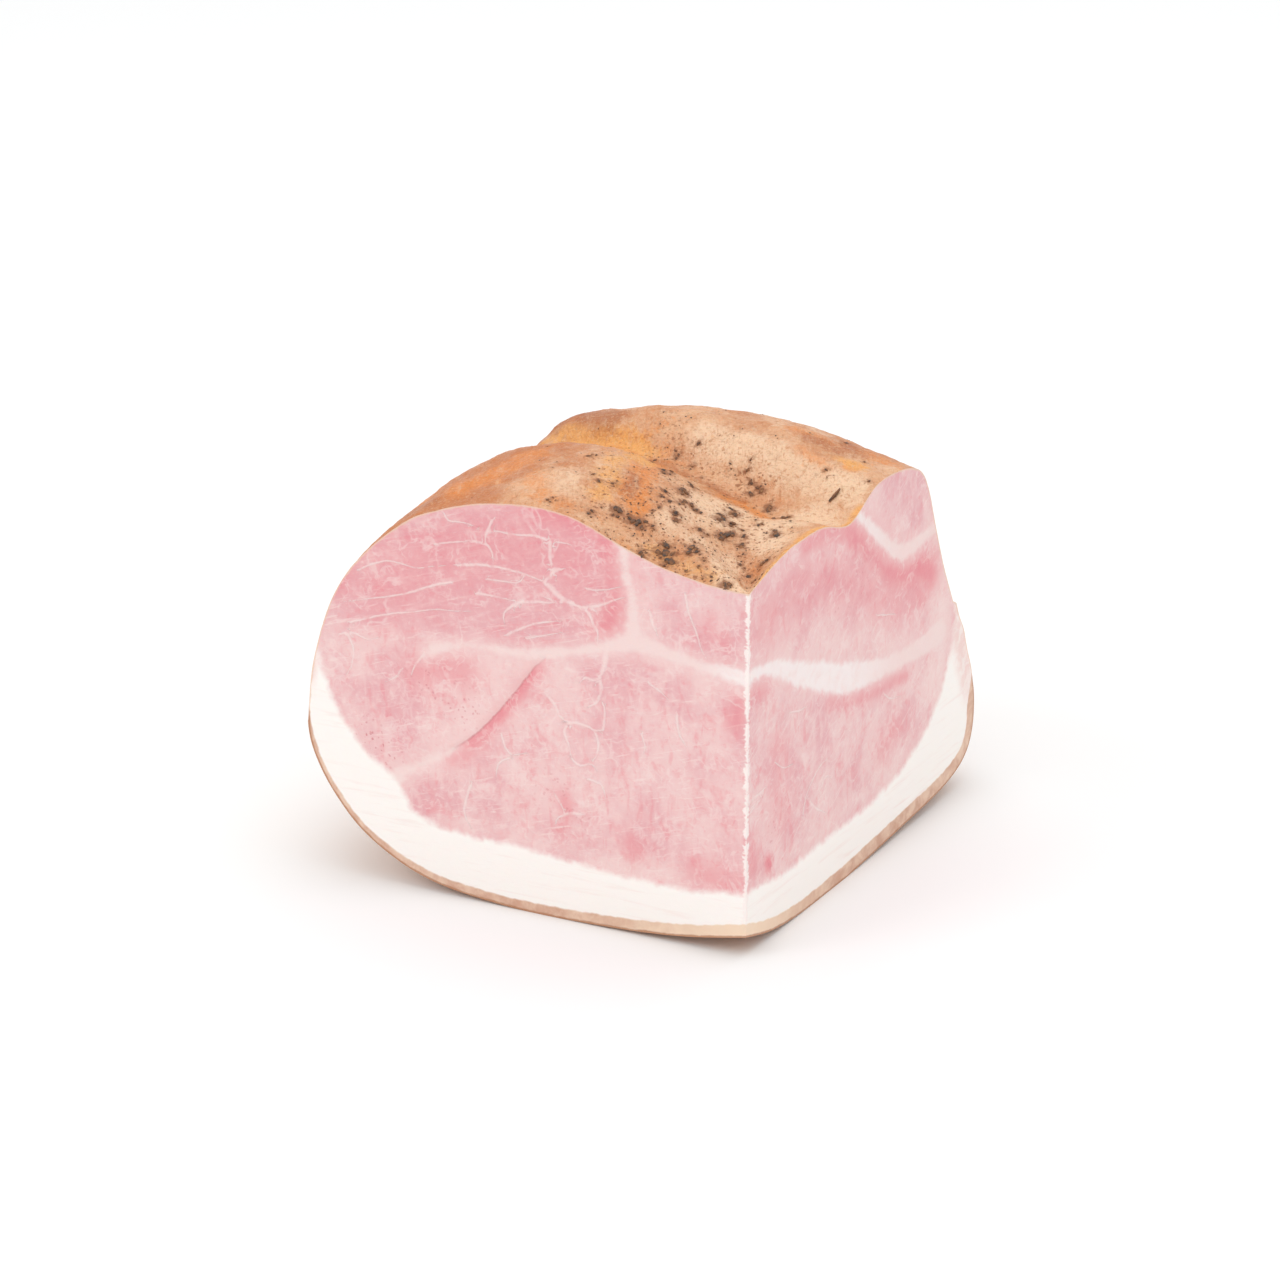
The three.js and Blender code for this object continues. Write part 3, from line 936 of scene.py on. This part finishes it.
def web_share(n):
    """A faint web of thin fat lines in patches of the lean, coarse and fine."""
    here = n.step(n.noise(10.0, 3.0, 0.6, 0.0, 3.0), 0.46, 0.62, 0.0, 0.9)
    there = n.step(n.noise(9.0, 3.0, 0.6, 0.0, 13.0), 0.47, 0.62, 0.0, 0.75)
    coarse = n.times(wisps(n, 11.0, 21.0, 0.045), here)
    fine = n.times(wisps(n, 5.0, 22.0, 0.06), there)
    return n.math("MAXIMUM", coarse, fine)


def cut_face_material():
    """The knife-cut face: lean, seams, veins, the fat and the rind cut through, all moist."""
    n = Nodes("ham_cut_face")
    wobble = n.minus(n.noise(3.4, 2.0, 0.5, 0.4, 5.0), 0.5)
    wide_wobble = n.minus(n.noise(8.0, 3.0, 0.5, 0.0, 6.0), 0.5)

    colour = part_line(n, lean_colour(n))
    seam = n.plus(n.field("seam"), n.plus(n.times(wobble, 3.2), n.times(wide_wobble, 2.4)))
    seam_share = n.step(seam, 1.4, -1.2)
    halo = n.step(seam, 6.0, 0.0, 0.0, 0.5)
    colour = n.mix(halo, colour, LEAN_PALE)
    colour = n.mix(n.times(web_share(n), 0.5), colour, WEB)
    veins = vein_share(n)
    colour = n.mix(n.times(veins, 0.6), colour, VEIN)
    seam_colour = n.mix(n.field("white"), SEAM, SEAM_WHITE)
    seam_colour = n.layers(seam_colour, (n.noise(6.0, 4.0, 0.6, 0.4, 4.0), 0.45, 0.7, 0.5, SEAM))
    colour = n.mix(n.times(seam_share, 0.9), colour, seam_colour)

    fat = n.plus(n.field("fat"), n.plus(n.times(wobble, 2.6), n.times(wide_wobble, 2.4)))
    fat_share = n.step(fat, -1.8, 1.4)
    strata = n.noise((30.0, 30.0, 2.4), 3.0, 0.6, 0.6, 8.0)
    fat_colour = n.layers(FAT, (strata, 0.52, 0.75, 0.35, FAT_ROSY))
    mottle = n.step(n.noise(4.0, 4.0, 0.6, 0.5, 14.0), 0.4, 0.65, 1.0, 0.45)
    fat_colour = n.mix(n.times(n.field("rosy"), mottle), fat_colour, FAT_ROSY)
    colour = n.mix(fat_share, colour, fat_colour)

    # A pale line along the front edge: partly frayed fibres, partly a painted highlight on the edge.
    edge_line_wobble = n.times(n.minus(n.noise(3.2, 2.0, 0.5, 0.5, 2.0), 0.5), 4.5)
    edge_line_fine_wobble = n.times(n.minus(n.noise((1.6, 1.6, 0.9), 2.0, 0.5, 0.0, 12.0), 0.5), 2.6)
    edge = n.plus(n.field("edge"), n.plus(edge_line_wobble, edge_line_fine_wobble))
    rim = n.plus(n.field("skin"), wobble)
    colour = n.layers(colour, (edge, 1.5, 0.5, 0.92, FRAYED_AND_HIGHLIT), (rim, 0.75, 0.25, 0.75, SKIN_LINE))

    rind = n.plus(n.field("rind"), n.times(wobble, 1.2))
    rind_share = n.step(rind, 0.4, -0.4)
    rind_colour = n.mix(n.step(n.noise(6.0, 4.0, 0.6, 0.5, 3.0), 0.35, 0.7), RIND_CUT, RIND_CUT_PALE)
    rind_colour = n.layers(rind_colour, (n.field("edge"), 70.0, 3.0, 0.9, RIND_CORNER),
                           (rim, 1.0, 0.4, 0.85, RIND_SKIN))
    colour = n.mix(rind_share, colour, rind_colour)

    moist = n.noise(4.0, 4.0, 0.6, 0.3, 1.0)
    lean_roughness = n.step(moist, 0.3, 0.7, 0.34, 0.56)
    roughness = n.blend(fat_share, lean_roughness, n.step(moist, 0.3, 0.7, 0.42, 0.6))
    fibres = n.noise((4.0, 4.0, 1.1), 3.0, 0.6, 0.6, 2.0, turn=(-0.5, 0.28, 0))
    height = n.plus(n.times(fibres, 0.45), n.times(n.noise(1.3, 3.0, 0.6), 0.35))
    height = n.plus(height, n.times(n.math("MAXIMUM", seam_share, veins), 0.35))
    n.surface(colour, roughness, n.times(height, n.blend(fat_share, 1.0, 0.5)), 0.45)
    n.flesh(0.4, 0.08, (1.0, 0.35, 0.25))
    return n.material


def crust_colour(n):
    """The smoked top: peach with amber, golden, rust and cream patches, painted crease shade, fine
    streaks, painted grain highlights and spice.
    """
    patches = n.noise(18.0, 4.0, 0.6, 0.8, 1.0)
    blotch = n.noise(6.0, 5.0, 0.65, 1.0, 5.0)
    fine = n.noise(1.9, 4.0, 0.65, 0.4, 8.0)
    streak = n.noise((2.6, 14.0, 6.0), 5.0, 0.65, 0.7, 3.0, turn=(0, 0, -0.45))
    hair = n.noise((0.9, 8.0, 3.0), 4.0, 0.65, 0.6, 9.0, turn=(0, 0, -0.45))
    sway = n.plus(n.times(n.minus(blotch, 0.5), 1.3), n.times(n.minus(streak, 0.5), 1.1))
    dark = n.step(n.plus(n.field("smoke"), n.times(n.minus(patches, 0.5), 1.2)), 0.05, 0.85)
    colour = n.mix(n.step(patches, 0.36, 0.64), PEACH_PALE, PEACH)
    colour = n.layers(colour, (blotch, 0.52, 0.7, 0.55, CRUST_AMBER),
                      (blotch, 0.46, 0.3, 0.45, CRUST_CREAM))
    colour = n.mix(n.times(dark, 0.88), colour, CRUST_SMOKED)
    for name, low, high, strength, tone in (
        ("cream", 0.15, 0.8, 0.82, CRUST_CREAM),
        ("orange", 0.15, 0.85, 0.86, CRUST_AMBER),
        ("golden", 0.2, 0.9, 0.82, CRUST_GOLD),
        # Brown zones: rust-brown patches of the crust, and painted shade along the crease.
        ("brown", 0.25, 1.0, 0.76, CRUST_RUST_AND_CREASE_SHADE),
    ):
        share = n.step(n.plus(n.field(name), sway), low, high)
        colour = n.mix(n.times(share, strength), colour, tone)
    colour = n.layers(colour, (streak, 0.54, 0.7, 0.5, PEACH_PALE), (hair, 0.45, 0.28, 0.55, HAIR_DARK))
    # Painted highlights: pale specks on the crust's fine grain, fewer where the smoke is dark.
    light = n.times(n.step(fine, 0.53, 0.68, 0.0, 0.5), n.step(dark, 0.0, 1.0, 1.0, 0.35))
    # Its pale specks are painted highlights, and its dark specks are real grit.
    grit_and_highlight = n.noise(0.9, 3.0, 0.6, 0.0, 18.0)
    colour = n.layers(
        n.mix(light, colour, GRAIN_HIGHLIGHT),
        (fine, 0.46, 0.32, 0.6, GRAIN_DARK),
        (grit_and_highlight, 0.54, 0.7, 0.4, GRIT_HIGHLIGHT),
        (grit_and_highlight, 0.45, 0.3, 0.4, GRIT_DARK),
    )
    return spice_stains(n, colour, fine)


def spice_stains(n, colour, fine):
    """The brown stain that the pepper leaves around it, and the fine dust ground off it."""
    spread = n.plus(n.field("spice"), n.times(n.minus(fine, 0.5), 2.4))
    colour = n.layers(colour, (spread, 0.15, 0.9, 0.85, SPICE_STAIN))
    grains = n.step(n.cells(1.7, warp=0.9, warp_size=1.2), 0.36, 0.2)
    grains = n.times(grains, n.step(n.noise(3.0, 3.0, 0.6, 0.0, 17.0), 0.42, 0.54))
    crumbs = n.step(n.cells(3.1, warp=0.9, warp_size=1.6), 0.3, 0.18)
    crumbs = n.times(crumbs, n.step(n.noise(5.0, 3.0, 0.6, 0.0, 19.0), 0.48, 0.58))
    dust = n.times(n.math("MAXIMUM", grains, crumbs), n.field("sprinkle"))
    return n.mix(n.times(dust, 0.8), colour, SPICE_DUST)


def rind_colour_outside(n):
    """The rind's own skin: leathery tan and brown, with pores."""
    patches = n.noise(20.0, 4.0, 0.6, 0.5, 11.0)
    fine = n.noise(2.0, 3.0, 0.6, 0.0, 12.0)
    colour = n.mix(n.step(patches, 0.3, 0.7), RIND_TAN, RIND_BROWN)
    return n.layers(colour, (fine, 0.5, 0.75, 0.5, RIND_PALE),
                    (n.cells(2.1, warp=0.3), 0.16, 0.08, 0.6, RIND_PORE))


def outside_material():
    """The outside: smoked crust on top, a band of trimmed smoked fat, and the rind below."""
    n = Nodes("ham_outside")
    wobble = n.minus(n.noise(2.6, 3.0, 0.6, 0.0, 5.0), 0.5)
    line = n.plus(n.field("rind_line"), n.times(wobble, 2.0))
    rind_share = n.step(line, -0.4, 0.4)
    sway = n.times(n.minus(n.noise(16.0, 4.0, 0.6, 0.6, 6.0), 0.5), 34.0)
    trim_share = n.step(n.plus(line, sway), -14.0, -5.0, 0.0, 0.85)
    fat = n.mix(n.step(n.noise(8.0, 4.0, 0.6, 0.6, 2.0), 0.35, 0.7), TRIM_PALE, TRIM)
    colour = n.mix(trim_share, crust_colour(n), fat)
    colour = n.mix(rind_share, colour, rind_colour_outside(n))

    oily = n.noise(5.0, 4.0, 0.6, 0.3, 4.0)
    roughness = n.step(oily, 0.3, 0.7, 0.38, 0.62)
    wrinkle = n.cells((3.4, 3.4, 2.2), warp=1.2, warp_size=3.0, feature="DISTANCE_TO_EDGE")
    crease = n.step(wrinkle, 0.0, 0.22)
    pores = n.step(n.cells(2.1, warp=0.3), 0.05, 0.22)
    skin = n.blend(rind_share, n.plus(n.times(crease, 0.35), n.noise(1.6, 4.0, 0.65)), pores)
    n.surface(colour, roughness, skin, 0.45)
    n.flesh(0.45, 0.06, (1.0, 0.4, 0.2))
    return n.material


def pepper_material():
    """Cracked peppercorns: black-brown husk, browner and paler where they broke."""
    n = Nodes("cracked_pepper")
    tint = n.noise(1.6, 3.0, 0.6, 0.0, 1.0)
    colour = n.layers(HUSK, (tint, 0.38, 0.6, 1.0, HUSK_BROWN), (tint, 0.58, 0.72, 1.0, KERNEL))
    n.surface(colour, n.step(tint, 0.3, 0.7, 0.55, 0.8), n.noise(0.5, 3.0, 0.6), 0.15)
    return n.material


# ---------------------------------------------------------------- pieces

def make_ham(points, faces, outside_faces, fields):
    """The ham itself: one mesh with two materials, which read the fields as point attributes."""
    mesh = bpy.data.meshes.new("ham")
    mesh.from_pydata(points.tolist(), [], faces)
    mesh.materials.append(outside_material())
    mesh.materials.append(cut_face_material())
    index = np.zeros(len(faces), np.int32)
    index[outside_faces:] = 1
    mesh.polygons.foreach_set("material_index", index)
    for name, values in fields.items():
        mesh.attributes.new(name, "FLOAT", "POINT").data.foreach_set("value", values.astype(np.float32))
    mesh.shade_smooth()
    mark_sharp_rims(mesh, index)
    mesh.validate()
    ham = bpy.data.objects.new("ham", mesh)
    bpy.context.scene.collection.objects.link(ham)
    return ham


def mark_sharp_rims(mesh, index):
    """Keeps the shading crisp along the rims of the cut faces and the front edge."""
    mesh.update()
    limit = math.cos(math.radians(40))
    first = {}
    sharp = np.zeros(len(mesh.edges), bool)
    normals = [p.normal.copy() for p in mesh.polygons]
    for face in mesh.polygons:
        for key in face.edge_keys:
            first.setdefault(key, []).append(face.index)
    for edge in mesh.edges:
        pair = first.get(tuple(sorted(edge.vertices)), ())
        if len(pair) == 2 and (index[pair[0]] or index[pair[1]]):
            sharp[edge.index] = normals[pair[0]].dot(normals[pair[1]]) < limit
    attribute = mesh.attributes.get("sharp_edge") or mesh.attributes.new("sharp_edge", "BOOLEAN", "EDGE")
    attribute.data.foreach_set("value", sharp)


def scatter_pepper(solid, points, faces):
    """Where each crumb of pepper lies: its place on the surface, the surface's normal and its size."""
    rng = random.Random(11)
    tree = BVHTree.FromPolygons(points.tolist(), faces)
    crumbs = []
    for left, behind, spread, count, size in PEPPER:
        for _ in range(count):
            along, across = rng.gauss(0, 1.7 * spread), rng.gauss(0, 0.9 * spread)
            x = solid.edge[0] - (left + 0.45 * along + 0.89 * across) * MM
            y = solid.edge[1] + (behind + 0.89 * along - 0.45 * across) * MM
            hit, normal, _, _ = tree.ray_cast(Vector((x, y, ABOVE)), DOWN)
            if hit is not None and normal.z > 0.3:
                crumbs.append((hit, normal, size * rng.uniform(0.55, 1.15) * MM))
    return crumbs


def crumb(place, normal, lengths, spin, rng):
    """The corners and faces of one cracked crumb, part sunk into the crust."""
    side = Vector((math.cos(spin), math.sin(spin), 0))
    side = (side - normal * side.dot(normal)).normalized()
    other = normal.cross(side)
    long, wide, tall = lengths
    corners = []
    for level, share in ((-0.5, 0.75), (0.2, 1.0), (0.7, 0.65)):
        for k in range(CRUMB_SIDES):
            angle = math.tau * k / CRUMB_SIDES + rng.uniform(-0.3, 0.3)
            reach = share * rng.uniform(0.55, 1.2)
            spot = side * (math.cos(angle) * long * reach) + other * (math.sin(angle) * wide * reach)
            corners.append(place + spot + normal * (level * tall * rng.uniform(0.7, 1.3)))
    corners.append(place - normal * (tall * 0.7))
    corners.append(place + normal * (tall * rng.uniform(0.75, 1.1)))
    faces = []
    for level in range(2):
        for k in range(CRUMB_SIDES):
            a = level * CRUMB_SIDES + k
            b = level * CRUMB_SIDES + (k + 1) % CRUMB_SIDES
            faces.append((a, b, b + CRUMB_SIDES, a + CRUMB_SIDES))
    for k in range(CRUMB_SIDES):
        after = (k + 1) % CRUMB_SIDES
        faces.append((3 * CRUMB_SIDES, after, k))
        faces.append((3 * CRUMB_SIDES + 1, 2 * CRUMB_SIDES + k, 2 * CRUMB_SIDES + after))
    return corners, faces


def make_pepper(solid, points, faces, crumbs):
    """All the crumbs of cracked pepper on the smoked top, and one stalk of clove among them."""
    rng = random.Random(5)
    made = []
    for place, normal, size in crumbs:
        lengths = [size * rng.uniform(low, high) for low, high in ((1.0, 1.6), (0.6, 0.95), (0.3, 0.5))]
        made.append(crumb(place, normal, lengths, 2.0 + rng.uniform(-0.8, 0.8), rng))
    tree = BVHTree.FromPolygons(points.tolist(), faces)
    ends = [Vector((solid.edge[0] - left * MM, solid.edge[1] + behind * MM, ABOVE))
            for left, behind in CLOVE]
    run = ends[1] - ends[0]
    place, normal, _, _ = tree.ray_cast((ends[0] + ends[1]) / 2, DOWN)
    stalk = (run.length / 2 * 1.15, 0.6 * MM, 0.9 * MM)
    made.append(crumb(place + normal * 0.4 * MM, normal, stalk, math.atan2(run.y, run.x), rng))
    corners, sides = [], []
    for own_corners, own_sides in made:
        sides.extend(tuple(i + len(corners) for i in face) for face in own_sides)
        corners.extend(own_corners)
    mesh = bpy.data.meshes.new("pepper_flakes")
    mesh.from_pydata(corners, [], sides)
    mesh.materials.append(pepper_material())
    mesh.validate()
    pepper = bpy.data.objects.new("pepper_flakes", mesh)
    bpy.context.scene.collection.objects.link(pepper)
    return pepper


# ---------------------------------------------------------------- stage

def make_floor():
    """A plain pale floor."""
    mesh = bpy.data.meshes.new("floor")
    corners = [(-FLOOR, -FLOOR, 0), (FLOOR, -FLOOR, 0), (FLOOR, FLOOR, 0), (-FLOOR, FLOOR, 0)]
    mesh.from_pydata(corners, [], [(0, 1, 2, 3)])
    material = bpy.data.materials.new("floor")
    material.use_nodes = True
    shader = material.node_tree.nodes["Principled BSDF"]
    shader.inputs["Base Color"].default_value = (0.95, 0.955, 0.955, 1)
    shader.inputs["Roughness"].default_value = 0.9
    mesh.materials.append(material)
    floor = bpy.data.objects.new("floor", mesh)
    bpy.context.scene.collection.objects.link(floor)
    return floor


def aim(thing, place, target):
    """Puts a camera or lamp in its place, looking at the target."""
    thing.location = place
    thing.rotation_euler = (Vector(target) - Vector(place)).to_track_quat("-Z", "Y").to_euler()


def add_light(name, place, target, size, power):
    """A round soft lamp."""
    light = bpy.data.lights.new(name, "AREA")
    light.shape = "DISK"
    light.size = size
    light.energy = power
    lamp = bpy.data.objects.new(name, light)
    bpy.context.scene.collection.objects.link(lamp)
    aim(lamp, place, target)


def make_studio(solid):
    """Soft white light from all round, two lamps, and the camera."""
    scene = bpy.context.scene
    scene.view_settings.view_transform = "Standard"
    scene.world = scene.world or bpy.data.worlds.new("world")
    scene.world.use_nodes = True
    background = scene.world.node_tree.nodes["Background"]
    background.inputs["Color"].default_value = (1, 1, 1, 1)
    background.inputs["Strength"].default_value = 0.86
    add_light("overhead", (0.1, 0.4, 2.2), (0, 0.2, 0), 2.4, 14)
    add_light("key", (-0.9, -1.2, 1.3), (0, 0, 0.05), 0.9, 4.5)

    azimuth, elevation = math.radians(VIEW_AZIMUTH), math.radians(VIEW_ELEVATION)
    target = Vector((solid.edge[0] - 46.5 * MM, solid.edge[1] + 17 * MM, 96.2 * MM))
    back = Vector((math.sin(azimuth) * math.cos(elevation), -math.cos(azimuth) * math.cos(elevation),
                   math.sin(elevation)))
    data = bpy.data.cameras.new("camera")
    data.lens = LENS
    data.sensor_width = 36
    camera = bpy.data.objects.new("camera", data)
    scene.collection.objects.link(camera)
    aim(camera, target + back * VIEW_DISTANCE, target)
    scene.camera = camera


solid = Solid(frame["nodes"][NODE])
points, faces, outside_faces, zones = build_ham(solid)
crumbs = scatter_pepper(solid, points, faces)
fields = all_fields(solid, points, zones, crumbs)
carve(solid, points, zones, fields)
ham = make_ham(points, faces, outside_faces, fields)
pepper = make_pepper(solid, points, faces, crumbs)
floor = make_floor()
make_studio(solid)

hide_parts(NODE)
for piece in (ham, pepper):
    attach(piece, BODY)
